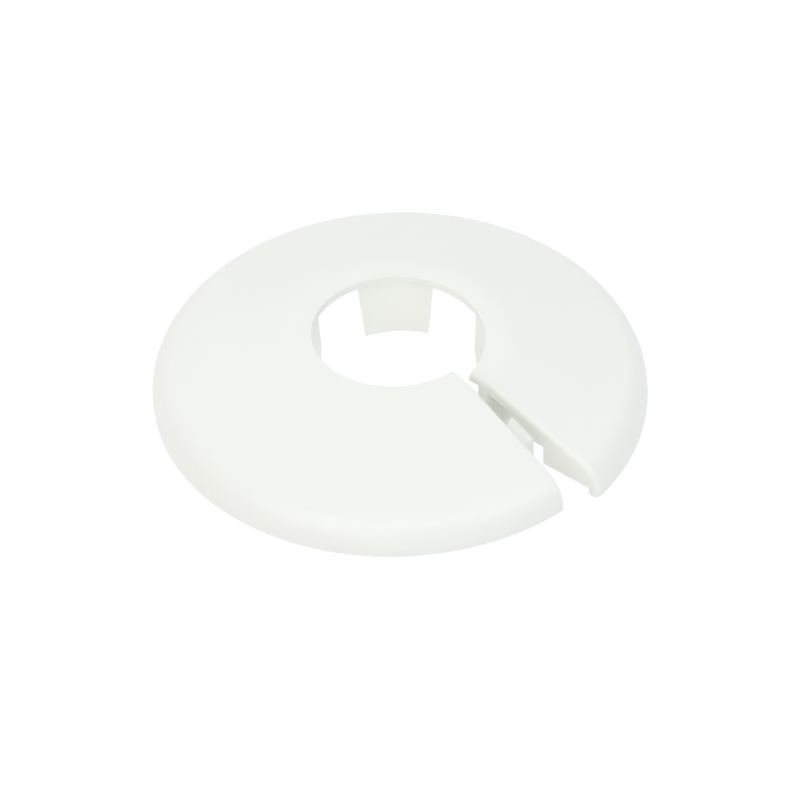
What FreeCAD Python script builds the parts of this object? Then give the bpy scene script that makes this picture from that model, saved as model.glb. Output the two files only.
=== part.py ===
"""Split cover collar for a 22 mm heating pipe: one moulding in white plastic.

A shallow hollow cover with a flat land round its bore, a cone and a round shoulder.
Four gripping lugs hang from the land. A slit lets the ring spring open over the pipe.
The ring lies sprung: the slit's sides, parallel as moulded, stand open like a wedge, and the ring
rises a little along its turn, like a split washer, from the low end at the slit to the high one.
The high end carries a tab, and the low end a socket for it.
Millimetres, +Z along the pipe, lugs on the X and Y axes, foot of the rim at the low end at z = 0.
"""
import FreeCAD
import Part
import Sketcher
import math
import os
from collections import namedtuple

# Driving dimensions: alias, value in millimetres or degrees, what it is.
SIZES = (
    ("outer_radius", 32.5, "radius of the rim"),
    ("cover_height", 9.9, "top of the land over the foot of the rim"),
    ("lip_radius", 11.35, "bore of the cover, clear of the pipe"),
    ("land_radius", 13.0, "outer radius of the flat land round the bore"),
    ("crown_radius", 8.0, "rounding from the land to the cone"),
    ("shoulder_radius", 4.2, "rounding from the cone to the rim"),
    ("rim_edge", 0.8, "straight height of the rim under its shoulder"),
    ("skin", 1.1, "wall of the cover"),
    ("rim_wall", 1.5, "wall of the rim at its foot"),
    ("end_rise", 2.77, "rise of the sprung ring over a full turn"),
    ("slit_place", 313.56, "angle of the middle of the slit, from +X"),
    ("slit_gap", 1.13, "slit between its parallel sides, as moulded"),
    ("slit_spread", 9.28, "angle that the slit's sides are sprung open by"),
    ("pipe_radius", 11.0, "pipe that the lugs grip"),
    ("lug_wall", 1.2, "thickness of a lug"),
    ("lug_foot", 0.5, "foot of a lug over the foot of the rim beside it"),
    ("lug_grip", 3.0, "height of the face that grips the pipe"),
    ("lug_root_width", 10.0, "width of a lug under the land"),
    ("lug_foot_width", 8.3, "width of a lug at its foot"),
    ("lug_setback", 0.1, "root of a lug behind the edge of the lip"),
    ("end_wall", 1.2, "thickness of the walls that close the two ends"),
    ("end_wall_radius", 13.4, "inner edge of the end walls"),
    ("end_wall_lift", 1.1, "foot of the end walls over the foot of the rim"),
    ("tab_inner", 19.75, "inner end of the tab, along the slit from the axis"),
    ("tab_length", 3.65, "length of the tab along the slit"),
    ("tab_reach", 3.0, "tab beyond its end wall"),
    ("tab_drop", 1.63, "top of the tab below the underside of the cone"),
    ("tab_corner", 0.4, "rounding of the tab's inner top corner"),
    ("socket_inner_room", 5.35, "socket beyond the inner end of the tab"),
    ("socket_outer_room", 0.15, "socket beyond the outer end of the tab"),
    ("socket_play", 0.15, "socket deeper than the tab"),
    ("socket_lift", 0.25, "foot of the socket's back over the foot of the rim"),
)
LUGS = 4
FULL_TURN = 360.0
# The end walls and lugs end this share of the skin below its top, buried in it.
SEAT_DEPTH = 0.7
# The root of the tab lies this share of its end wall inside it.
TAB_SEAT = 0.5
# Cutting and trimming forms reach this far past what they cut.
OVERREACH = 2.0

# The edges of the cover's section, as numbered in a sketch.
CoverLine = namedtuple("CoverLine", "land crown cone shoulder rim")

doc = FreeCAD.newDocument("pipe_collar")


class Measure:
    """A size as an expression on the sheet, with its present value."""

    def __init__(self, expression, value):
        self.expression = expression
        self.value = value

    def joined(self, sign, other, value):
        return Measure(f"({self.expression} {sign} {other.expression})", value)

    def __add__(self, other):
        return self.joined("+", other, self.value + other.value)

    def __sub__(self, other):
        return self.joined("-", other, self.value - other.value)

    def __mul__(self, share):
        return self.joined("*", plain(share), self.value * share)


def plain(number):
    """A fixed number as a measure."""
    return Measure(str(number), number)


def make_sheet():
    """Writes the driving dimensions to a sheet and returns them as measures by name."""
    sheet = doc.addObject("Spreadsheet::Sheet", "Sizes")
    for row, (alias, value, note) in enumerate(SIZES, start=1):
        sheet.set(f"A{row}", note)
        sheet.set(f"B{row}", str(value))
        sheet.setAlias(f"B{row}", alias)
    doc.recompute()
    return {alias: Measure(f"Sizes.{alias}", value) for alias, value, _ in SIZES}


SIZE = make_sheet()
ZERO = plain(0.0)
OVER = plain(OVERREACH)
# The ring runs from its low end at the slit, counter-clockwise, round to its high end.
LOW_END = SIZE["slit_place"] + SIZE["slit_spread"] * 0.5 - plain(FULL_TURN)
RING_TURN = plain(FULL_TURN) - SIZE["slit_spread"]
# The slit's sides lie beside the lines from the axis along its two ends.
SIDE_OFFSET = SIZE["slit_gap"] * 0.5


def rise_after(turn):
    """Height that the sprung ring has gained after a turn from its low end."""
    expression = f"(Sizes.end_rise * {turn.expression} / {FULL_TURN})"
    return Measure(expression, SIZE["end_rise"].value * turn.value / FULL_TURN)


def make_body(name, turn, lift):
    """A body turned about the pipe's axis and lifted along it."""
    body = doc.addObject("PartDesign::Body", name)
    upright = FreeCAD.Rotation(FreeCAD.Vector(0, 0, 1), turn.value)
    body.Placement = FreeCAD.Placement(FreeCAD.Vector(0, 0, lift.value), upright)
    body.setExpression("Placement.Rotation.Angle", turn.expression)
    body.setExpression("Placement.Base.z", lift.expression)
    return body


def make_sketch(body, name, role, lift=None):
    """A sketch on one of the body's own planes, raised off it where lift is given."""
    plane = next(item for item in body.Origin.OriginFeatures if item.Role == role)
    sketch = body.newObject("Sketcher::SketchObject", name)
    sketch.AttachmentSupport = [(plane, "")]
    sketch.MapMode = "FlatFace"
    if lift:
        sketch.setExpression("AttachmentOffset.Base.z", lift.expression)
    return sketch


def bind(sketch, name, measure, kind, *places):
    """Adds a dimension to a sketch and ties it to the sheet."""
    index = sketch.addConstraint(Sketcher.Constraint(kind, *places, measure.value))
    sketch.renameConstraint(index, name)
    sketch.setExpression(f"Constraints.{name}", measure.expression)


def relate(sketch, kind, *places):
    sketch.addConstraint(Sketcher.Constraint(kind, *places))


def draw_polygon(sketch, name, corners):
    """Draws a closed outline of straight edges with each corner tied to the sheet."""
    first = sketch.GeometryCount
    points = [FreeCAD.Vector(x.value, y.value, 0) for x, y in corners]
    for start, end in zip(points, points[1:] + points[:1]):
        sketch.addGeometry(Part.LineSegment(start, end))
    for number, (x, y) in enumerate(corners):
        edge = first + number
        relate(sketch, "Coincident", edge, 2, first + (number + 1) % len(corners), 1)
        bind(sketch, f"{name}{number}_across", x, "DistanceX", -1, 1, edge, 1)
        bind(sketch, f"{name}{number}_up", y, "DistanceY", -1, 1, edge, 1)


def cone_normal(crown_centre, crown, shoulder_centre, shoulder):
    """Direction square to the cone's line, which touches both round parts of the section from outside."""
    between = shoulder_centre - crown_centre
    lean = math.acos((crown - shoulder) / between.Length)
    angle = math.atan2(between.y, between.x) + lean
    return angle, FreeCAD.Vector(math.cos(angle), math.sin(angle), 0)


def draw_cover_line(sketch, name, inner, foot, depth, rim_depth):
    """Draws the cover's section at a depth under its skin: land, crown, cone, shoulder and rim.

    The rim's straight height is left to the caller. Returns the edges' numbers.
    """
    crown = SIZE["crown_radius"] - depth
    shoulder = SIZE["shoulder_radius"] - rim_depth
    land_height = SIZE["cover_height"] - depth
    rim = SIZE["outer_radius"] - rim_depth
    # The cone's slope is that of the outer skin, whose rounds lie on the same two centres.
    crown_centre = FreeCAD.Vector(SIZE["land_radius"].value, land_height.value - crown.value, 0)
    shoulder_centre = FreeCAD.Vector(rim.value - shoulder.value, SIZE["rim_edge"].value, 0)
    angle, normal = cone_normal(crown_centre, SIZE["crown_radius"].value,
                                shoulder_centre, SIZE["shoulder_radius"].value)
    # A rim that is thicker than the skin lifts the inner shoulder until it touches the cone.
    shoulder_centre.y += (rim_depth.value - depth.value) / normal.y
    land_end = crown_centre + FreeCAD.Vector(0, crown.value, 0)
    rim_top = shoulder_centre + FreeCAD.Vector(shoulder.value, 0, 0)
    upright = FreeCAD.Vector(0, 0, 1)
    land_start = FreeCAD.Vector(inner.value, land_height.value, 0)
    cone_start = crown_centre + normal * crown.value
    cone_end = shoulder_centre + normal * shoulder.value
    rim_foot = FreeCAD.Vector(rim.value, foot.value, 0)
    crown_circle = Part.Circle(crown_centre, upright, crown.value)
    shoulder_circle = Part.Circle(shoulder_centre, upright, shoulder.value)
    line = CoverLine(
        land=sketch.addGeometry(Part.LineSegment(land_start, land_end)),
        crown=sketch.addGeometry(Part.ArcOfCircle(crown_circle, angle, math.pi / 2)),
        cone=sketch.addGeometry(Part.LineSegment(cone_start, cone_end)),
        shoulder=sketch.addGeometry(Part.ArcOfCircle(shoulder_circle, 0, angle)),
        rim=sketch.addGeometry(Part.LineSegment(rim_top, rim_foot)))
    relate(sketch, "Tangent", line.land, 2, line.crown, 2)
    relate(sketch, "Tangent", line.crown, 1, line.cone, 1)
    relate(sketch, "Tangent", line.cone, 2, line.shoulder, 2)
    relate(sketch, "Tangent", line.shoulder, 1, line.rim, 1)
    relate(sketch, "Horizontal", line.land)
    relate(sketch, "Vertical", line.rim)
    bind(sketch, f"{name}_inner", inner, "DistanceX", -1, 1, line.land, 1)
    bind(sketch, f"{name}_land_height", land_height, "DistanceY", -1, 1, line.land, 1)
    bind(sketch, f"{name}_land_end", SIZE["land_radius"], "DistanceX", -1, 1, line.land, 2)
    bind(sketch, f"{name}_crown", crown, "Radius", line.crown)
    bind(sketch, f"{name}_shoulder", shoulder, "Radius", line.shoulder)
    bind(sketch, f"{name}_rim", rim, "DistanceX", -1, 1, line.rim, 2)
    bind(sketch, f"{name}_foot", foot, "DistanceY", -1, 1, line.rim, 2)
    return line


def join_ends(sketch, start, end):
    """Closes an outline with a straight edge between two ends of drawn edges."""
    edge = sketch.addGeometry(Part.LineSegment(sketch.getPoint(*start), sketch.getPoint(*end)))
    relate(sketch, "Coincident", *start, edge, 1)
    relate(sketch, "Coincident", edge, 2, *end)
    return edge


def sweep_ring(body, section, turn):
    """Carries a section round the pipe's axis, rising along the sprung ring."""
    ring = body.newObject("PartDesign::AdditiveHelix", f"{body.Name}_ring")
    axis = next(item for item in body.Origin.OriginFeatures if item.Role == "Z_Axis")
    ring.Profile = section
    ring.ReferenceAxis = (axis, [""])
    ring.Mode = "pitch-turns-angle"
    ring.setExpression("Pitch", "Sizes.end_rise")
    ring.setExpression("Turns", f"{turn.expression} / {FULL_TURN}")
    return ring


def make_cover():
    """The hollow cover: a thin section carried round from the low end to the high end."""
    body = make_body("cover", LOW_END, ZERO)
    section = make_sketch(body, "cover_section", "XZ_Plane")
    outer = draw_cover_line(section, "skin", SIZE["lip_radius"], ZERO, ZERO, ZERO)
    inner = draw_cover_line(section, "under", SIZE["lip_radius"], ZERO, SIZE["skin"], SIZE["rim_wall"])
    bind(section, "rim_edge", SIZE["rim_edge"], "DistanceY", -1, 1, outer.rim, 1)
    relate(section, "Parallel", outer.cone, inner.cone)
    join_ends(section, (outer.rim, 2), (inner.rim, 2))
    join_ends(section, (inner.land, 1), (outer.land, 1))
    sweep_ring(body, section, RING_TURN)
    return body


def make_slit():
    """The wedge between the slit's sides, through the whole height of the ring."""
    body = make_body("slit", SIZE["slit_place"], ZERO - OVER)
    plan = make_sketch(body, "slit_plan", "XY_Plane")
    half = math.radians(SIZE["slit_spread"].value / 2)
    reach = SIZE["outer_radius"] + OVER
    start = Measure("(Sizes.slit_gap / 2 / cos(Sizes.slit_spread / 2))", SIDE_OFFSET.value / math.cos(half))
    widening = Measure(f"({reach.expression} * tan(Sizes.slit_spread / 2))", reach.value * math.tan(half))
    end = start + widening
    draw_polygon(plan, "corner", ((ZERO, ZERO - start), (reach, ZERO - end), (reach, end), (ZERO, start)))
    height = SIZE["cover_height"] + SIZE["end_rise"] + OVER * 2
    pad = body.newObject("PartDesign::Pad", "slit_pad")
    pad.Profile = plan
    pad.setExpression("Length", height.expression)
    return body


def make_trim():
    """The room under the skin, from the end walls' inner edge to inside the rim."""
    body = make_body("trim", LOW_END, ZERO)
    section = make_sketch(body, "trim_section", "XZ_Plane")
    depth = SIZE["skin"] * SEAT_DEPTH
    line = draw_cover_line(section, "trim", SIZE["end_wall_radius"], ZERO - OVER, depth, depth)
    bind(section, "rim_edge", SIZE["rim_edge"], "DistanceY", -1, 1, line.rim, 1)
    floor_end = FreeCAD.Vector(SIZE["end_wall_radius"].value, -OVERREACH, 0)
    floor = section.addGeometry(Part.LineSegment(section.getPoint(line.rim, 2), floor_end))
    relate(section, "Coincident", line.rim, 2, floor, 1)
    relate(section, "Horizontal", floor)
    wall = join_ends(section, (floor, 2), (line.land, 1))
    relate(section, "Vertical", wall)
    sweep_ring(body, section, RING_TURN)
    return body


def make_end_wall(name, turn, lift, corners):
    """One end wall from its outline in plan, drawn with the line from the axis along the ring's end as X."""
    body = make_body(name, LOW_END + turn, rise_after(turn))
    plan = make_sketch(body, f"{name}_plan", "XY_Plane", lift)
    draw_polygon(plan, "corner", corners)
    pad = body.newObject("PartDesign::Pad", f"{name}_pad")
    pad.Profile = plan
    pad.setExpression("Length", "Sizes.cover_height")
    doc.recompute()
    return body


def make_low_walls():
    """The low end's wall, open where the tab enters, and the socket's back, which hangs lower behind it."""
    face = SIDE_OFFSET
    wall = face + SIZE["end_wall"]
    back = face + SIZE["tab_reach"] + SIZE["socket_play"]
    back_wall = back + SIZE["end_wall"]
    inner = SIZE["end_wall_radius"]
    outer = SIZE["outer_radius"]
    near = SIZE["tab_inner"] - SIZE["socket_inner_room"]
    far = SIZE["tab_inner"] + SIZE["tab_length"] + SIZE["socket_outer_room"]
    far_wall = far + SIZE["end_wall"]
    socket_wall = make_end_wall("socket_wall", ZERO, SIZE["end_wall_lift"], (
        (inner, face), (near, face), (near, back), (far, back), (far, face), (outer, face),
        (outer, wall), (far_wall, wall), (far_wall, back_wall), (inner, back_wall)))
    socket_back = make_end_wall("socket_back", ZERO, SIZE["socket_lift"], (
        (inner, back), (far_wall, back), (far_wall, back_wall), (inner, back_wall)))
    return [socket_wall, socket_back]


def make_tab_wall():
    """The high end's wall, which carries the tab."""
    face = ZERO - SIDE_OFFSET
    back = face - SIZE["end_wall"]
    inner = SIZE["end_wall_radius"]
    outer = SIZE["outer_radius"]
    return make_end_wall("tab_wall", RING_TURN, SIZE["end_wall_lift"], (
        (inner, back), (outer, back), (outer, face), (inner, face)))


def make_tab():
    """The tab on the high end: its top runs along under the cone and is rounded at its inner end."""
    root = SIZE["end_wall"] * TAB_SEAT
    body = make_body("tab", LOW_END + RING_TURN, rise_after(RING_TURN))
    side = make_sketch(body, "tab_side", "XZ_Plane", SIDE_OFFSET + root)
    depth = SIZE["skin"] + SIZE["tab_drop"]
    line = draw_cover_line(side, "guide", SIZE["lip_radius"], ZERO, depth, depth)
    bind(side, "rim_edge", SIZE["rim_edge"], "DistanceY", -1, 1, line.rim, 1)
    for edge in line:
        side.toggleConstruction(edge)
    draw_tab_outline(side, line.cone)
    pad = body.newObject("PartDesign::Pad", "tab_pad")
    pad.Profile = side
    pad.Reversed = True
    pad.setExpression("Length", (root + SIZE["tab_reach"]).expression)
    doc.recompute()
    return body


def draw_tab_outline(sketch, cone):
    """Draws the tab in elevation: inner end, round corner, top along the cone's line, outer end and foot."""
    inner = SIZE["tab_inner"]
    outer = SIZE["tab_inner"] + SIZE["tab_length"]
    foot = SIZE["end_wall_lift"]
    corner = SIZE["tab_corner"]
    start = sketch.getPoint(cone, 1)
    along = sketch.getPoint(cone, 2) - start
    slope = math.atan2(along.y, along.x)

    def on_top(x):
        return FreeCAD.Vector(x, start.y + (x - start.x) * math.tan(slope), 0)

    middle_x = inner.value + corner.value
    middle = on_top(middle_x) - FreeCAD.Vector(0, corner.value / math.cos(slope), 0)
    round_end = middle + FreeCAD.Vector(-math.sin(slope), math.cos(slope), 0) * corner.value
    inner_top = FreeCAD.Vector(inner.value, middle.y, 0)
    inner_foot = FreeCAD.Vector(inner.value, foot.value, 0)
    outer_foot = FreeCAD.Vector(outer.value, foot.value, 0)
    outer_top = on_top(outer.value)
    circle = Part.Circle(middle, FreeCAD.Vector(0, 0, 1), corner.value)
    inner_edge = sketch.addGeometry(Part.LineSegment(inner_foot, inner_top))
    round_edge = sketch.addGeometry(Part.ArcOfCircle(circle, slope + math.pi / 2, math.pi))
    top_edge = sketch.addGeometry(Part.LineSegment(round_end, outer_top))
    outer_edge = sketch.addGeometry(Part.LineSegment(outer_top, outer_foot))
    foot_edge = sketch.addGeometry(Part.LineSegment(outer_foot, inner_foot))
    relate(sketch, "Tangent", inner_edge, 2, round_edge, 2)
    relate(sketch, "Tangent", round_edge, 1, top_edge, 1)
    relate(sketch, "Coincident", top_edge, 2, outer_edge, 1)
    relate(sketch, "Coincident", outer_edge, 2, foot_edge, 1)
    relate(sketch, "Coincident", foot_edge, 2, inner_edge, 1)
    relate(sketch, "Vertical", inner_edge)
    relate(sketch, "Vertical", outer_edge)
    relate(sketch, "Horizontal", foot_edge)
    relate(sketch, "PointOnObject", top_edge, 2, cone)
    relate(sketch, "Parallel", top_edge, cone)
    bind(sketch, "tab_inner", inner, "DistanceX", -1, 1, inner_edge, 1)
    bind(sketch, "tab_outer", outer, "DistanceX", -1, 1, outer_edge, 2)
    bind(sketch, "tab_foot", foot, "DistanceY", -1, 1, foot_edge, 1)
    bind(sketch, "tab_corner", corner, "Radius", round_edge)


def make_lug(number):
    """A lug that leans in from the lip to an upright face on the pipe, narrower at its foot."""
    place = plain(number * FULL_TURN / LUGS)
    turn = place - LOW_END
    body = make_body(f"lug_{number}", place, rise_after(turn))
    grip = SIZE["pipe_radius"]
    wall = SIZE["lug_wall"]
    foot = SIZE["lug_foot"]
    bend = foot + SIZE["lug_grip"]
    root = SIZE["lip_radius"] + SIZE["lug_setback"]
    top = SIZE["cover_height"] - SIZE["skin"] * SEAT_DEPTH
    section = make_sketch(body, f"lug_{number}_section", "XZ_Plane")
    draw_polygon(section, "corner", ((grip, foot), (grip + wall, foot), (grip + wall, bend),
                                     (root + wall, top), (root, top), (grip, bend)))
    ring = body.newObject("PartDesign::Revolution", f"lug_{number}_ring")
    ring.Profile = section
    ring.ReferenceAxis = (section, ["V_Axis"])
    ring.Angle = FULL_TURN / LUGS
    ring.Midplane = True
    doc.recompute()
    full = ring.Shape.Volume
    sides = make_sketch(body, f"lug_{number}_sides", "YZ_Plane")
    clear = root + wall
    for side in (1, -1):
        draw_polygon(sides, "left" if side > 0 else "right", (
            (SIZE["lug_foot_width"] * (side / 2), foot), (clear * side, foot),
            (clear * side, top), (SIZE["lug_root_width"] * (side / 2), top)))
    cut = body.newObject("PartDesign::Pocket", f"lug_{number}_taper")
    cut.Profile = sides
    cut.Type = "ThroughAll"
    cut.Midplane = True
    doc.recompute()
    if cut.Shape.Volume >= full:
        raise RuntimeError(f"the sides of lug {number} were not cut")
    return body


def combine(kind, name, base, tool):
    """Two shapes in one, by a boolean of the given kind."""
    result = doc.addObject(kind, name)
    result.Base = base
    result.Tool = tool
    return result


def build():
    """The whole moulding as one solid."""
    trim = make_trim()
    split_cover = combine("Part::Cut", "split_cover", make_cover(), make_slit())
    walls = [combine("Part::Common", f"{wall.Name}_trimmed", wall, trim)
             for wall in make_low_walls() + [make_tab_wall()]]
    collar = doc.addObject("Part::MultiFuse", "collar")
    collar.Shapes = [split_cover, make_tab()] + walls + [make_lug(number) for number in range(LUGS)]
    collar.Refine = True
    collar.Label = "pipe_collar"
    doc.recompute()
    return collar


def check(collar):
    """Stops when an object failed or the moulding is not one sound solid."""
    failed = [item.Name for item in doc.Objects if {"Invalid", "Error"} & set(item.State)]
    if failed:
        raise RuntimeError(f"not built: {failed}")
    if collar.Shape.isNull() or not collar.Shape.isValid():
        raise RuntimeError("the collar has no sound shape")
    if len(collar.Shape.Solids) != 1:
        raise RuntimeError(f"the collar is {len(collar.Shape.Solids)} solids, not one")


moulding = build()
check(moulding)
os.makedirs("parts", exist_ok=True)
moulding.Shape.exportStep(f"parts/{moulding.Label}.step")
print(f"{moulding.Label}: {moulding.Shape.Volume:.1f} mm3, {len(moulding.Shape.Faces)} faces")
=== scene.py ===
"""Split cover collar for a heating pipe, moulded in white polypropylene, on a white table."""
import bmesh
import bpy
import math
from mathutils import Matrix, Quaternion, Vector


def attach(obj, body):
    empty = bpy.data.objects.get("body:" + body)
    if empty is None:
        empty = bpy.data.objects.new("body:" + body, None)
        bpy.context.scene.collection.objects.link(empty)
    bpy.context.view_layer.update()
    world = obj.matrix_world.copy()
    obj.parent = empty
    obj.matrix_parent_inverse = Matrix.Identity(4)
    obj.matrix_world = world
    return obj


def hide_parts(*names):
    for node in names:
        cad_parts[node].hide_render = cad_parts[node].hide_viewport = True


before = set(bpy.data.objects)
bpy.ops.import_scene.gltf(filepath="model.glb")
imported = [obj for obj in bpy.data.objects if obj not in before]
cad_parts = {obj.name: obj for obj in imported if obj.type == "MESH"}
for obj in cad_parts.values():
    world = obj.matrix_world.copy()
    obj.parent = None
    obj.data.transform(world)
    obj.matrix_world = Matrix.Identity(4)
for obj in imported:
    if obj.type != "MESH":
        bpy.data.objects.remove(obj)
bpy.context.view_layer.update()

MM = 0.001
RIGHT_ANGLE = math.pi / 2

# The cover's section, over the foot of the rim beside it.
OUTER_RADIUS = 32.5 * MM
COVER_HEIGHT = 9.9 * MM
LIP_RADIUS = 11.35 * MM
LAND_RADIUS = 13.0 * MM
CROWN_RADIUS = 8.0 * MM
SHOULDER_RADIUS = 4.2 * MM
RIM_EDGE = 0.8 * MM
SKIN = 1.1 * MM
RIM_WALL = 1.5 * MM
# The mould leaves its sharp edges slightly round.
LIP_ROUND = 0.25 * MM
RIM_ROUND = 0.2 * MM
# The slit's low side is clearly rounder than its high side.
LOW_SIDE_ROUND = 0.8 * MM
HIGH_SIDE_ROUND = 0.32 * MM
SLIT_ROUND_PARTS = 6
# The lugs' and the tab's edges.
LUG_ROUND = 0.15 * MM
LUG_ROUND_PARTS = 3
# Parts that an arc or a run of the section is divided into.
LIP_PARTS = 5
LAND_PARTS = 2
CROWN_PARTS = 10
CONE_PARTS = 10
SHOULDER_PARTS = 24
RIM_PARTS = 4

# The sprung ring climbs from its low end at the slit, counter-clockwise, to its high end.
END_RISE = 2.77 * MM
SLIT_PLACE = math.radians(313.56)
SLIT_SPREAD = math.radians(9.28)
SIDE_OFFSET = 1.13 / 2 * MM
FULL_TURN = 2 * math.pi
RING_TURN = FULL_TURN - SLIT_SPREAD
LOW_END = SLIT_PLACE + SLIT_SPREAD / 2 - FULL_TURN
RING_PARTS = 210
# Beside the slit, the ring's first parts are wide enough for its round, and the next adapt over this turn.
STRIP_MARGIN = 0.1 * MM
SLIT_STRIP = SIDE_OFFSET + LOW_SIDE_ROUND + STRIP_MARGIN
SLIT_STRIP_TURN = math.radians(16.0)
# The slit's wedge runs from this share of the grip's radius to this share of the rim's. It starts one cover's
# height under the collar and is this many covers high.
SLIT_START = 0.5
SLIT_END = 1.2
SLIT_COVERS = 4

LUGS = 4
GRIP_RADIUS = 11.0 * MM
LUG_WALL = 1.2 * MM
LUG_FOOT = 0.5 * MM
LUG_GRIP = 3.0 * MM
LUG_ROOT_WIDTH = 10.0 * MM
LUG_FOOT_WIDTH = 8.3 * MM
LUG_SETBACK = 0.1 * MM
LUG_PARTS = 20

END_WALL = 1.2 * MM
END_WALL_INNER = 13.4 * MM
END_WALL_LIFT = 1.1 * MM
TAB_TIP_INNER = 19.1 * MM
TAB_OUTER = 23.4 * MM
TAB_REACH = 3.1 * MM
TAB_DROP = 1.5 * MM
# The tab's inner side moves this much inwards for each millimetre towards its tip, and its top falls less
# steeply than the cone.
TAB_FLARE = 0.45
TAB_LEAN_EASE = math.radians(3.0)
TAB_CORNER = 0.4 * MM
TAB_CORNER_PARTS = 6
SOCKET_INNER = 14.4 * MM
SOCKET_OUTER = 23.55 * MM
SOCKET_DEPTH = 3.15 * MM
SOCKET_LIFT = 0.25 * MM
# A lintel hangs this far under the skin, over the socket's mouth.
SOCKET_LINTEL = 0.45 * MM
# The socket's back stands out past its sides by a hair, and the tab's foot is as much above its wall's.
BACK_LEDGE = 0.04 * MM
# The end walls are made this much too thick, for the slit to cut them flush with the cover.
WALL_EXCESS = 0.3 * MM
# Lugs and end walls end this far under the top of the skin, inside it.
SEAT_DEPTH = 0.77 * MM

# Edges that turn more than this stay crisp in the shading.
CRISP_ANGLE = math.radians(34.0)
# Points and planes nearer than this are one, and a face lies in a plane if its normal agrees to this cosine.
WELD = 0.001 * MM
FLAT_LIMIT = 0.99999
# Points this near a cutting plane count as lying on it.
CUT_TOLERANCE = 0.0001 * MM
# The largest face at a corner sets its shading, at the greatest weight that there is.
FACE_WEIGHT = 100
# Faces that look up or out by more than this are the cover's top and rim.
UPWARD = 0.01
OUTWARD = 0.5

# The camera: a long lens, a little rolled, that looks down on the collar with the slit at lower right.
CAMERA_AZIMUTH = math.radians(-91.0)
CAMERA_ELEVATION = math.radians(43.03)
CAMERA_ROLL = math.radians(-1.977)
CAMERA_DISTANCE = 722.8 * MM
CAMERA_LENS = 247.5
CAMERA_SENSOR = 36.0
# The point at the middle of the picture.
CAMERA_AIM = Vector((-0.1, -1.0, 0.2)) * MM

# The plastic: the range of its pigment and the size of its clouds, the range of the mould's polish and the
# size of its patches, and the size and depth of the mould's matt grain.
PIGMENT = ("#eff1e7", "#f1f3ea")
CLOUD_SIZE = 9 * MM
ROUGHNESS = (0.30, 0.42)
POLISH_SIZE = 3 * MM
GRAIN_SIZE = 0.6 * MM
GRAIN_DEPTH = 0.004 * MM
PLASTIC_IOR = 1.49
# How much light sinks into the plastic, how deep, and the share of each colour that does.
SINK_SHARE = 0.15
SINK_DEPTH = 0.8 * MM
SINK_COLOUR = (1.0, 0.9, 0.7)

FLOOR_SIZE = 3000 * MM
# The table's own light on the collar, its light as the camera sees it, and how much light it scatters back.
TABLE_GLOW = 0.765
TABLE_WHITE = 0.92
TABLE_SURFACE = (0.12, 0.12, 0.12, 1.0)
# All the light is a little cool.
LIGHT_COLOUR = (1.0, 0.995, 1.042)
# The studio's light all round, and how much it gains towards the left, the back and overhead.
STUDIO_LIGHT = 0.268
STUDIO_SIDES = (-1, 1, 1)
STUDIO_GAIN = (0.266, 0.7, 0.26)
# Softboxes: azimuth and elevation, width, power in watts and tint.
BOX_DISTANCE = 900 * MM
SOFTBOXES = (
    ("left_box", -122, 40, 850 * MM, 2.84, (1.04, 1.0, 0.99)),
    ("right_box", -36, 45, 850 * MM, 2.67, (0.95, 1.03, 1.07)),
)

# The colour sockets of a Mix node, which share their names with its other sockets.
MIX_A = 6
MIX_B = 7
MIX_RESULT = 2


def linear(hex_colour):
    """An sRGB hex colour as the linear values that shaders take."""
    values = [int(hex_colour[place:place + 2], 16) / 255 for place in (1, 3, 5)]
    return tuple(value / 12.92 if value <= 0.04045 else ((value + 0.055) / 1.055) ** 2.4
                 for value in values) + (1.0,)


def add_node(tree, kind, links=(), **settings):
    """Adds a node; settings are socket values or node properties, links pairs of socket name and source."""
    node = tree.nodes.new(kind)
    for name, value in settings.items():
        if hasattr(node, name):
            setattr(node, name, value)
        else:
            node.inputs[name].default_value = value
    for name, source in links:
        tree.links.new(source, node.inputs[name])
    return node


# The cone touches the crown's and the shoulder's rounds: its lean below the level follows from their centres.
CROWN_CENTRE = Vector((LAND_RADIUS, 0, COVER_HEIGHT - CROWN_RADIUS))
SHOULDER_CENTRE = Vector((OUTER_RADIUS - SHOULDER_RADIUS, 0, RIM_EDGE))
BETWEEN = SHOULDER_CENTRE - CROWN_CENTRE
CONE_LEAN = (math.asin((CROWN_RADIUS - SHOULDER_RADIUS) / BETWEEN.length)
             + math.atan2(-BETWEEN.z, BETWEEN.x))


def facing(lean):
    """Direction square to a surface that leans outwards by this angle from the level."""
    return Vector((math.sin(lean), 0, math.cos(lean)))


def rise(turn):
    """Height that the ring has gained after a turn from its low end."""
    return END_RISE * turn / FULL_TURN


def run(bm, vert, end, parts=1):
    """Draws a straight run of the section from its last point, in equal parts."""
    step = (Vector(end) - vert.co) / parts
    for _ in range(parts):
        vert = bmesh.ops.extrude_vert_indiv(bm, verts=[vert])["verts"][0]
        bmesh.ops.translate(bm, verts=[vert], vec=step)
    return vert


def arc(bm, vert, centre, angle, parts):
    """Draws a round of the section about its centre; a positive angle leads from the top outwards."""
    drawn = bmesh.ops.spin(bm, geom=[vert], cent=centre, axis=(0, 1, 0), angle=angle, steps=parts)
    return next(item for item in drawn["geom_last"] if isinstance(item, bmesh.types.BMVert))


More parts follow.
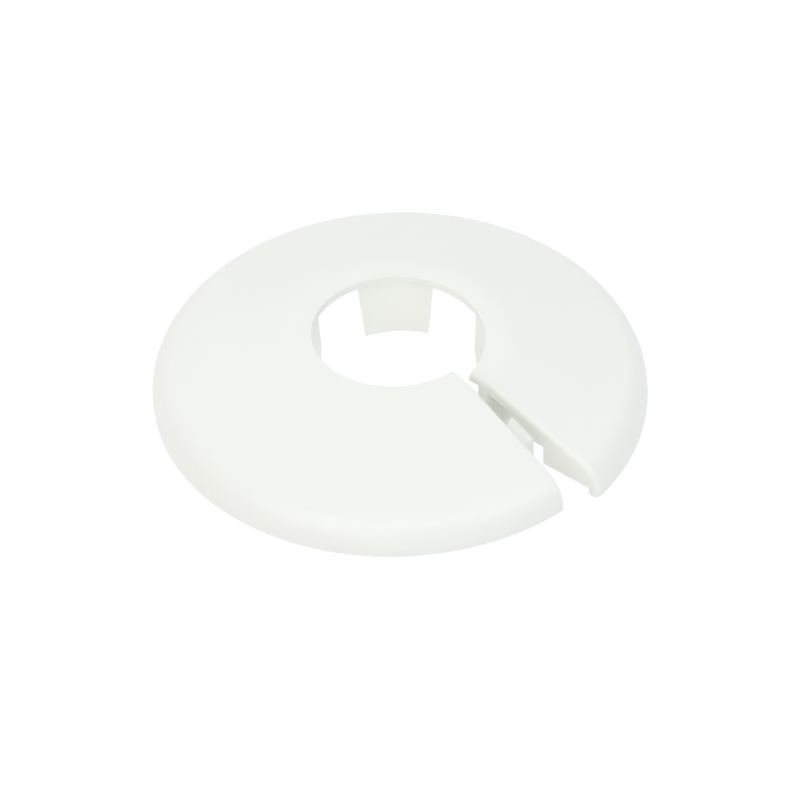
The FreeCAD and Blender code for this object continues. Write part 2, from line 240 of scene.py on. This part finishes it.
def draw_section(bm):
    """Draws the cover's section: up the lip, out over land, crown, cone and shoulder, and back under them."""
    inner_rim = OUTER_RADIUS - RIM_WALL
    inner_crown = CROWN_RADIUS - SKIN
    square = facing(CONE_LEAN)
    # The rim is thicker than the skin, so the inner shoulder sits higher to touch the cone.
    inner_centre = SHOULDER_CENTRE + Vector((0, 0, (RIM_WALL - SKIN) / square.z))
    start = bmesh.ops.create_vert(bm, co=(LIP_RADIUS, 0, COVER_HEIGHT - SKIN))["vert"][0]
    vert = run(bm, start, (LIP_RADIUS, 0, COVER_HEIGHT))
    vert = run(bm, vert, (LAND_RADIUS, 0, COVER_HEIGHT), LAND_PARTS)
    vert = arc(bm, vert, CROWN_CENTRE, CONE_LEAN, CROWN_PARTS)
    vert = run(bm, vert, SHOULDER_CENTRE + square * SHOULDER_RADIUS, CONE_PARTS)
    vert = arc(bm, vert, SHOULDER_CENTRE, RIGHT_ANGLE - CONE_LEAN, SHOULDER_PARTS)
    vert = run(bm, vert, (OUTER_RADIUS, 0, 0))
    vert = run(bm, vert, (inner_rim + RIM_ROUND, 0, 0))
    vert = arc(bm, vert, (inner_rim + RIM_ROUND, 0, RIM_ROUND), RIGHT_ANGLE, RIM_PARTS)
    vert = run(bm, vert, (inner_rim, 0, inner_centre.z))
    vert = arc(bm, vert, inner_centre, CONE_LEAN - RIGHT_ANGLE, SHOULDER_PARTS // 2)
    vert = run(bm, vert, CROWN_CENTRE + square * inner_crown, CONE_PARTS)
    vert = arc(bm, vert, CROWN_CENTRE, -CONE_LEAN, CROWN_PARTS // 2)
    bm.edges.new((vert, start))


def close_and_face(bm):
    """Fills the open ends of a shell and points its faces outwards."""
    bmesh.ops.holes_fill(bm, edges=[edge for edge in bm.edges if edge.is_boundary], sides=0)
    bmesh.ops.recalc_face_normals(bm, faces=bm.faces)


def round_edges(bm, edges, radius, parts):
    """Rounds edges, as far as the faces beside them have room for it."""
    bmesh.ops.bevel(bm, geom=edges, offset=radius, offset_type="OFFSET", segments=parts, profile=0.5,
                    affect="EDGES", clamp_overlap=True, material=-1)


def sharp_edges(bm):
    """The edges that stay crisp."""
    return [edge for edge in bm.edges if edge.is_manifold and edge.calc_face_angle() > CRISP_ANGLE]


def widen_ends(bm):
    """Moves the ring's sections back from the slit, to leave an unbroken strip beside it for its round."""
    part = RING_TURN / RING_PARTS
    middle = LOW_END + RING_TURN / 2
    for vert in bm.verts:
        turn = math.remainder(math.atan2(vert.co.y, vert.co.x) - middle, FULL_TURN)
        from_end = RING_TURN / 2 - abs(turn)
        if part / 2 < from_end < SLIT_STRIP_TURN:
            strip = math.asin(SLIT_STRIP / vert.co.xy.length)
            share = (SLIT_STRIP_TURN - from_end) / (SLIT_STRIP_TURN - part)
            back = math.copysign(share * (strip - part), -turn)
            vert.co = Matrix.Rotation(back, 3, "Z") @ vert.co + Vector((0, 0, rise(back)))


def make_shell():
    """The hollow cover: its section carried round the pipe, climbing as it goes."""
    bm = bmesh.new()
    draw_section(bm)
    section = bm.verts[:] + bm.edges[:]
    bmesh.ops.rotate(bm, verts=bm.verts, matrix=Matrix.Rotation(LOW_END, 3, "Z"))
    bmesh.ops.spin(bm, geom=section, axis=(0, 0, 1), angle=RING_TURN, steps=RING_PARTS,
                   dvec=(0, 0, rise(RING_TURN) / RING_PARTS))
    widen_ends(bm)
    close_and_face(bm)
    return to_object(bm, "collar")


def block(outline, vec):
    """A straight block on a flat outline."""
    bm = bmesh.new()
    foot = bm.faces.new([bm.verts.new(point) for point in outline])
    grown = bmesh.ops.extrude_face_region(bm, geom=[foot])["geom"]
    far_end = [item for item in grown if isinstance(item, bmesh.types.BMVert)]
    bmesh.ops.translate(bm, verts=far_end, vec=vec)
    close_and_face(bm)
    return bm


def make_slit():
    """The wedge that the slit takes out of the ring, from inside the bore to beyond the rim."""
    meet = SIDE_OFFSET / math.sin(SLIT_SPREAD / 2)
    slope = math.tan(SLIT_SPREAD / 2)
    inner = GRIP_RADIUS * SLIT_START
    outer = OUTER_RADIUS * SLIT_END
    outline = [(radius, side * (radius + meet) * slope, -COVER_HEIGHT)
               for radius, side in ((inner, -1), (outer, -1), (outer, 1), (inner, 1))]
    wedge = block(outline, (0, 0, SLIT_COVERS * COVER_HEIGHT))
    return to_object(set_at(wedge, SLIT_PLACE, 0), "slit")


def is_on(face, end, offset):
    """Tells the faces that lie this far beside the plane through the pipe's axis at an end of the ring."""
    across = Vector((-math.sin(end), math.cos(end), 0))
    return (abs(face.normal.dot(across)) > FLAT_LIMIT
            and abs(face.verts[0].co.dot(across) - offset) < WELD)


def is_low_side(face):
    return is_on(face, LOW_END, SIDE_OFFSET)


def is_high_side(face):
    return is_on(face, LOW_END + RING_TURN, -SIDE_OFFSET)


def outwardness(face):
    """How squarely a face looks away from the pipe's axis; negative where it looks towards the axis."""
    outwards = face.calc_center_median().xy.normalized()
    return face.normal.xy.dot(outwards)


def is_top(face):
    """Tells the faces of the cover's top and rim, and of the rounds beside them."""
    return (not is_low_side(face) and not is_high_side(face)
            and (face.normal.z > UPWARD or outwardness(face) > OUTWARD))


def is_lip(face):
    """Tells the faces of the lip's wall, which stand upright round the pipe, behind the lugs' grips."""
    radius = face.calc_center_median().xy.length
    return (outwardness(face) < -OUTWARD and abs(face.normal.z) < UPWARD
            and (GRIP_RADIUS + LIP_RADIUS) / 2 < radius < LIP_RADIUS + WELD)


def is_foot(face):
    """Tells the faces that the rim stands on."""
    radius = face.calc_center_median().xy.length
    return face.normal.z < -OUTWARD and radius > OUTER_RADIUS - RIM_WALL


def edges_between(bm, is_one, is_other):
    """The edges where two kinds of faces meet."""
    return [edge for edge in bm.edges if edge.is_manifold
            and (is_one(edge.link_faces[0]) and is_other(edge.link_faces[1])
                 or is_one(edge.link_faces[1]) and is_other(edge.link_faces[0]))]


def round_cover(piece):
    """Rounds the slit's sides where they meet the top, and then the lip and the rim's foot."""
    bm = bmesh.new()
    bm.from_mesh(piece.data)
    # The largest round comes first: a round can't be wider than the strips that another has left beside it.
    round_edges(bm, edges_between(bm, is_low_side, is_top), LOW_SIDE_ROUND, SLIT_ROUND_PARTS)
    bm.normal_update()
    round_edges(bm, edges_between(bm, is_high_side, is_top), HIGH_SIDE_ROUND, SLIT_ROUND_PARTS)
    bm.normal_update()
    round_edges(bm, edges_between(bm, is_lip, is_top), LIP_ROUND, LIP_PARTS)
    bm.normal_update()
    round_edges(bm, edges_between(bm, is_foot, is_top), RIM_ROUND, RIM_PARTS)
    bm.to_mesh(piece.data)
    bm.free()


def cut_off(bm, point, normal):
    """Cuts away what lies beyond a plane and closes the cut."""
    bmesh.ops.bisect_plane(bm, geom=bm.verts[:] + bm.edges[:] + bm.faces[:], dist=CUT_TOLERANCE,
                           plane_co=point, plane_no=normal, clear_outer=True)
    close_and_face(bm)


def set_at(bm, place, height):
    """Turns a piece about the pipe's axis to its place and lifts it."""
    bmesh.ops.rotate(bm, verts=bm.verts, matrix=Matrix.Rotation(place, 3, "Z"))
    bmesh.ops.translate(bm, verts=bm.verts, vec=(0, 0, height))
    return bm


def make_lug(number):
    """A lug that leans in from the lip to an upright face on the pipe, narrower at its foot."""
    root = LIP_RADIUS + LUG_SETBACK
    bend = LUG_FOOT + LUG_GRIP
    top = COVER_HEIGHT - SEAT_DEPTH
    outside = GRIP_RADIUS + LUG_WALL
    corners = ((GRIP_RADIUS, LUG_FOOT), (outside, LUG_FOOT), (outside, bend),
               (root + LUG_WALL, top), (root, top), (GRIP_RADIUS, bend))
    half_foot = LUG_FOOT_WIDTH / 2
    bm = block([(x, -half_foot, z) for x, z in corners], (0, LUG_FOOT_WIDTH, 0))
    across = [edge for edge in bm.edges if edge.calc_length() > LUG_FOOT_WIDTH - WELD]
    bmesh.ops.subdivide_edges(bm, edges=across, cuts=LUG_PARTS - 1, use_grid_fill=True)
    # The straight strip widens towards its root and bends round the pipe.
    widening = (LUG_ROOT_WIDTH / LUG_FOOT_WIDTH - 1) / (top - LUG_FOOT)
    for vert in bm.verts:
        aside = vert.co.y * (1 + widening * (vert.co.z - LUG_FOOT))
        vert.co = (math.sqrt(vert.co.x ** 2 - aside ** 2), aside, vert.co.z)
    round_edges(bm, sharp_edges(bm), LUG_ROUND, LUG_ROUND_PARTS)
    place = number * FULL_TURN / LUGS
    return to_object(set_at(bm, place, rise(place - LOW_END)), f"lug_{number}")


def make_end_wall(name, corners, lift, turn, drop=None):
    """An end wall on its outline in plan, cut off inside the skin; a drop is how far it hangs at most."""
    bm = block([(x, y, lift) for x, y in corners], (0, 0, COVER_HEIGHT))
    for lean in (CONE_LEAN, (CONE_LEAN + RIGHT_ANGLE) / 2, RIGHT_ANGLE):
        square = facing(lean)
        cut_off(bm, SHOULDER_CENTRE + square * (SHOULDER_RADIUS - SEAT_DEPTH), square)
    if drop:
        square = facing(CONE_LEAN)
        cut_off(bm, SHOULDER_CENTRE + square * (SHOULDER_RADIUS - SKIN - drop), -square)
    return to_object(set_at(bm, LOW_END + turn, rise(turn)), name)


def make_low_walls():
    """The low end's walls beside the tab's way in, the socket's back, which hangs lower, and the lintel."""
    face = SIDE_OFFSET - WALL_EXCESS
    wall = SIDE_OFFSET + END_WALL
    back = SIDE_OFFSET + SOCKET_DEPTH
    seat = back + END_WALL / 2
    back_wall = back + END_WALL
    side_wall = SOCKET_OUTER + END_WALL
    inner_end = END_WALL_INNER - BACK_LEDGE
    outer_end = side_wall + BACK_LEDGE
    lintel_inner = SOCKET_INNER - WALL_EXCESS
    lintel_outer = SOCKET_OUTER + WALL_EXCESS
    lintel_face = SIDE_OFFSET - WALL_EXCESS / 2
    inner_wall = ((END_WALL_INNER, face), (SOCKET_INNER, face), (SOCKET_INNER, seat), (END_WALL_INNER, seat))
    outer_wall = ((SOCKET_OUTER, face), (OUTER_RADIUS, face), (OUTER_RADIUS, wall), (side_wall, wall),
                  (side_wall, seat), (SOCKET_OUTER, seat))
    socket_back = ((inner_end, back), (outer_end, back), (outer_end, back_wall), (inner_end, back_wall))
    lintel = ((lintel_inner, lintel_face), (lintel_outer, lintel_face), (lintel_outer, wall),
              (lintel_inner, wall))
    return [make_end_wall("inner_wall", inner_wall, END_WALL_LIFT, 0),
            make_end_wall("outer_wall", outer_wall, END_WALL_LIFT, 0),
            make_end_wall("socket_back", socket_back, SOCKET_LIFT, 0),
            make_end_wall("lintel", lintel, END_WALL_LIFT, 0, SOCKET_LINTEL)]


def make_tab_wall():
    """The high end's wall, which carries the tab."""
    face = WALL_EXCESS - SIDE_OFFSET
    back = -SIDE_OFFSET - END_WALL
    corners = ((END_WALL_INNER, back), (OUTER_RADIUS, back), (OUTER_RADIUS, face), (END_WALL_INNER, face))
    return make_end_wall("tab_wall", corners, END_WALL_LIFT, RING_TURN)


def make_tab():
    """The tab on the high end: wider at its tip, rounded at its inner corner, its top falling outwards."""
    square = facing(CONE_LEAN)
    depth = SHOULDER_RADIUS - SKIN - TAB_DROP
    top = SHOULDER_CENTRE.z + (depth - (TAB_OUTER - SHOULDER_CENTRE.x) * square.x) / square.z
    foot = END_WALL_LIFT + BACK_LEDGE
    root = -SIDE_OFFSET - END_WALL / 2
    tip = TAB_REACH - SIDE_OFFSET
    root_inner = TAB_TIP_INNER + (tip - root) * TAB_FLARE
    plan = ((root_inner, root), (TAB_OUTER, root), (TAB_OUTER, tip), (TAB_TIP_INNER, tip))
    bm = block([(x, y, foot) for x, y in plan], (0, 0, COVER_HEIGHT))
    cut_off(bm, (TAB_OUTER, 0, top), facing(CONE_LEAN - TAB_LEAN_EASE))
    corner = [edge for edge in bm.edges
              if all(vert.co.x < TAB_TIP_INNER + WELD for vert in edge.verts)]
    round_edges(bm, corner, TAB_CORNER, TAB_CORNER_PARTS)
    round_edges(bm, sharp_edges(bm), LUG_ROUND, LUG_ROUND_PARTS)
    bmesh.ops.remove_doubles(bm, verts=bm.verts, dist=WELD)
    return to_object(set_at(bm, LOW_END + RING_TURN, rise(RING_TURN)), "tab")


def to_object(bm, name):
    """Makes an object of a finished bmesh and frees it."""
    mesh = bpy.data.meshes.new(name)
    bm.to_mesh(mesh)
    bm.free()
    piece = bpy.data.objects.new(name, mesh)
    bpy.context.scene.collection.objects.link(piece)
    return piece


def apply_modifiers(piece):
    """Makes the result of a piece's modifiers its mesh."""
    evaluated = piece.evaluated_get(bpy.context.evaluated_depsgraph_get())
    whole = bpy.data.meshes.new_from_object(evaluated)
    piece.modifiers.clear()
    piece.data = whole


def shape(base, pieces, operation):
    """Joins closed pieces to the base or takes them out of it, and then deletes them."""
    for piece in pieces:
        step = base.modifiers.new(piece.name, "BOOLEAN")
        step.operation = operation
        step.solver = "EXACT"
        step.object = piece
    apply_modifiers(base)
    for piece in pieces:
        bpy.data.objects.remove(piece)


def shade(piece):
    """Shades round surfaces smoothly, and leaves flat faces flat and sharp edges crisp."""
    bm = bmesh.new()
    bm.from_mesh(piece.data)
    for face in bm.faces:
        face.smooth = True
    for edge in sharp_edges(bm):
        edge.smooth = False
    bm.to_mesh(piece.data)
    bm.free()
    flat_faces = piece.modifiers.new("flat_faces", "WEIGHTED_NORMAL")
    flat_faces.weight = FACE_WEIGHT
    flat_faces.keep_sharp = True


def make_collar():
    """The whole moulding in one piece: the cover with walls and lugs, slit and rounded, and then the tab."""
    collar = make_shell()
    lugs = [make_lug(number) for number in range(LUGS)]
    shape(collar, make_low_walls() + [make_tab_wall()] + lugs, "UNION")
    shape(collar, [make_slit()], "DIFFERENCE")
    round_cover(collar)
    shape(collar, [make_tab()], "UNION")
    shade(collar)
    return collar


def moulded_polypropylene():
    """Injection-moulded white polypropylene: a satin skin, slightly cloudy, that light sinks into a little."""
    material = bpy.data.materials.new("moulded_polypropylene")
    material.use_nodes = True
    tree = material.node_tree
    shader = tree.nodes["Principled BSDF"]
    place = add_node(tree, "ShaderNodeTexCoord").outputs["Object"]
    # The pigment is not quite evenly spread.
    cloud = add_node(tree, "ShaderNodeTexNoise", [("Vector", place)], Scale=1 / CLOUD_SIZE, Detail=2.0)
    colour = add_node(tree, "ShaderNodeMix", [("Factor", cloud.outputs["Fac"])], data_type="RGBA")
    colour.inputs[MIX_A].default_value = linear(PIGMENT[0])
    colour.inputs[MIX_B].default_value = linear(PIGMENT[1])
    tree.links.new(colour.outputs[MIX_RESULT], shader.inputs["Base Color"])
    # The mould's polish varies over a few millimetres.
    polish = add_node(tree, "ShaderNodeTexNoise", [("Vector", place)], Scale=1 / POLISH_SIZE, Detail=3.0)
    gloss = add_node(tree, "ShaderNodeMapRange", [("Value", polish.outputs["Fac"])])
    gloss.inputs["To Min"].default_value = ROUGHNESS[0]
    gloss.inputs["To Max"].default_value = ROUGHNESS[1]
    tree.links.new(gloss.outputs["Result"], shader.inputs["Roughness"])
    # The mould's fine matt finish, drawn coarser than it is, to show.
    grain = add_node(tree, "ShaderNodeTexNoise", [("Vector", place)], Scale=1 / GRAIN_SIZE, Detail=2.0)
    skin = add_node(tree, "ShaderNodeBump", [("Height", grain.outputs["Fac"])],
                    Strength=1.0, Distance=GRAIN_DEPTH)
    tree.links.new(skin.outputs["Normal"], shader.inputs["Normal"])
    shader.inputs["IOR"].default_value = PLASTIC_IOR
    shader.inputs["Subsurface Weight"].default_value = SINK_SHARE
    shader.inputs["Subsurface Radius"].default_value = SINK_COLOUR
    shader.inputs["Subsurface Scale"].default_value = SINK_DEPTH
    return material


def backlit_table():
    """Opal acrylic with light under it: the camera and reflections see a white ground with a faint shadow."""
    material = bpy.data.materials.new("backlit_table")
    material.use_nodes = True
    tree = material.node_tree
    tree.nodes.remove(tree.nodes["Principled BSDF"])
    path = add_node(tree, "ShaderNodeLightPath")
    seen = add_node(tree, "ShaderNodeMath", operation="MAXIMUM",
                    links=[(0, path.outputs["Is Camera Ray"]), (1, path.outputs["Is Glossy Ray"])])
    seen = add_node(tree, "ShaderNodeMath", operation="MAXIMUM",
                    links=[(0, seen.outputs[0]), (1, path.outputs["Is Transmission Ray"])])
    shine = add_node(tree, "ShaderNodeMapRange", [("Value", seen.outputs[0])])
    shine.inputs["To Min"].default_value = TABLE_GLOW
    shine.inputs["To Max"].default_value = TABLE_WHITE
    glow = add_node(tree, "ShaderNodeEmission", [("Strength", shine.outputs["Result"])],
                    Color=LIGHT_COLOUR + (1.0,))
    surface = add_node(tree, "ShaderNodeBsdfDiffuse", Color=TABLE_SURFACE)
    both = add_node(tree, "ShaderNodeAddShader", [(0, surface.outputs[0]), (1, glow.outputs[0])])
    tree.links.new(both.outputs[0], tree.nodes["Material Output"].inputs["Surface"])
    return material


def make_floor():
    bm = bmesh.new()
    bmesh.ops.create_grid(bm, x_segments=1, y_segments=1, size=FLOOR_SIZE / 2)
    floor = to_object(bm, "floor")
    floor.data.materials.append(backlit_table())


def make_world():
    """A pale studio, brighter on the left, behind and overhead, and white where the camera sees it."""
    world = bpy.data.worlds.new("studio")
    bpy.context.scene.world = world
    world.use_nodes = True
    tree = world.node_tree
    place = add_node(tree, "ShaderNodeTexCoord").outputs["Generated"]
    sides = add_node(tree, "ShaderNodeVectorMath", [(0, place)], operation="MULTIPLY")
    sides.inputs[1].default_value = STUDIO_SIDES
    towards = add_node(tree, "ShaderNodeVectorMath", [(0, sides.outputs["Vector"])], operation="MAXIMUM")
    towards.inputs[1].default_value = (0.0, 0.0, 0.0)
    gain = add_node(tree, "ShaderNodeVectorMath", [(0, towards.outputs["Vector"])], operation="DOT_PRODUCT")
    gain.inputs[1].default_value = STUDIO_GAIN
    level = add_node(tree, "ShaderNodeMath", [(0, gain.outputs["Value"])], operation="ADD")
    level.inputs[1].default_value = STUDIO_LIGHT
    studio = tree.nodes["Background"]
    tree.links.new(level.outputs[0], studio.inputs["Strength"])
    studio.inputs["Color"].default_value = LIGHT_COLOUR + (1.0,)
    white = add_node(tree, "ShaderNodeBackground", Color=(1.0, 1.0, 1.0, 1.0), Strength=1.0)
    path = add_node(tree, "ShaderNodeLightPath")
    both = add_node(tree, "ShaderNodeMixShader", [(0, path.outputs["Is Camera Ray"]), (1, studio.outputs[0]),
                                                  (2, white.outputs[0])])
    tree.links.new(both.outputs[0], tree.nodes["World Output"].inputs["Surface"])


def direction(azimuth, elevation):
    """Points from the collar to a place round it."""
    return Vector((math.cos(azimuth) * math.cos(elevation), math.sin(azimuth) * math.cos(elevation),
                   math.sin(elevation)))


def make_softbox(name, azimuth, elevation, size, power, tint):
    """A square soft light that looks at the collar."""
    data = bpy.data.lights.new(name, "AREA")
    data.energy = power
    data.size = size
    data.color = [light * share for light, share in zip(LIGHT_COLOUR, tint)]
    light = bpy.data.objects.new(name, data)
    toward = direction(math.radians(azimuth), math.radians(elevation))
    light.location = toward * BOX_DISTANCE
    light.rotation_euler = toward.to_track_quat("Z", "Y").to_euler()
    bpy.context.scene.collection.objects.link(light)


def make_camera():
    toward = direction(CAMERA_AZIMUTH, CAMERA_ELEVATION)
    data = bpy.data.cameras.new("camera")
    data.lens = CAMERA_LENS
    data.sensor_width = CAMERA_SENSOR
    camera = bpy.data.objects.new("camera", data)
    camera.location = CAMERA_AIM + toward * CAMERA_DISTANCE
    turn = toward.to_track_quat("Z", "Y") @ Quaternion((0, 0, 1), CAMERA_ROLL)
    camera.rotation_euler = turn.to_euler()
    bpy.context.scene.collection.objects.link(camera)
    bpy.context.scene.camera = camera


collar = make_collar()
collar.data.materials.clear()
collar.data.materials.append(moulded_polypropylene())
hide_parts("pipe_collar")
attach(collar, "root")

make_floor()
make_world()
for softbox in SOFTBOXES:
    make_softbox(*softbox)
make_camera()
bpy.context.scene.view_settings.view_transform = "Standard"
